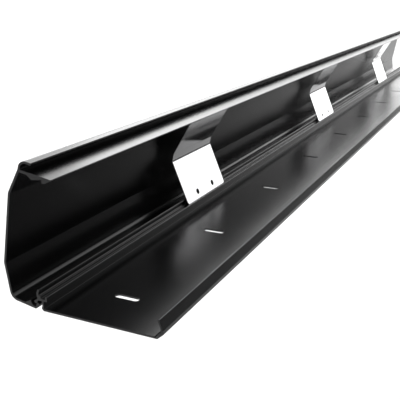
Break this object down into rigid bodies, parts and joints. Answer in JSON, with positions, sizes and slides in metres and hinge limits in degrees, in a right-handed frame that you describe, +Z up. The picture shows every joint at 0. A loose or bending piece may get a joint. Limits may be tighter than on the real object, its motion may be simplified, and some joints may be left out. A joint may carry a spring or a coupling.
{
  "type": "cable tray",
  "caption": "Long hinged cable tray for the underside of a desk: an extruded channel with a slotted extruded lid held by leaf springs.",
  "frame": {"origin": "middle of the bearing face on top of the channel's flange, where the tray hangs from a desk, halfway along its length", "axes": "+X along the tray, -Y towards its open front, +Z up as it hangs under a desk; the lid is at its open stop"},
  "size_m": [1.59, 0.1427, 0.1156],
  "materials": {
    "black_channel": "black powder coat, satin",
    "black_lid": "black powder coat, satin",
    "polished_spring_steel": "polished"
  },
  "bodies": {
    "channel": {"channel_profile": "black_channel"},
    "lid": {"lid_profile": "black_lid"},
    "spring_1": {"leaf_spring_1": "polished_spring_steel"},
    "spring_2": {"leaf_spring_2": "polished_spring_steel"},
    "spring_3": {"leaf_spring_3": "polished_spring_steel"}
  },
  "joints": [
    {"name": "lid_hinge", "type": "hinge", "parent": "channel", "child": "lid", "pos_m": [0, -0.005, -0.1019], "axis": [-1, 0, 0], "range_deg": [0, 80], "deforming": ["leaf_spring_1", "leaf_spring_2", "leaf_spring_3"]},
    {"name": "spring_1_tilt", "type": "hinge", "parent": "channel", "child": "spring_1", "pos_m": [-0.5, -0.0008, -0.0032], "axis": [1, 0, 0], "range_deg": [0, 7.6]},
    {"name": "spring_2_tilt", "type": "hinge", "parent": "channel", "child": "spring_2", "pos_m": [0, -0.0008, -0.0032], "axis": [1, 0, 0], "range_deg": [0, 7.6]},
    {"name": "spring_3_tilt", "type": "hinge", "parent": "channel", "child": "spring_3", "pos_m": [0.5, -0.0008, -0.0032], "axis": [1, 0, 0], "range_deg": [0, 7.6]}
  ],
  "couplings": [
    {"joint": "spring_1_tilt", "follows": "lid_hinge", "ratio": 0.094},
    {"joint": "spring_2_tilt", "follows": "lid_hinge", "ratio": 0.094},
    {"joint": "spring_3_tilt", "follows": "lid_hinge", "ratio": 0.094}
  ]
}
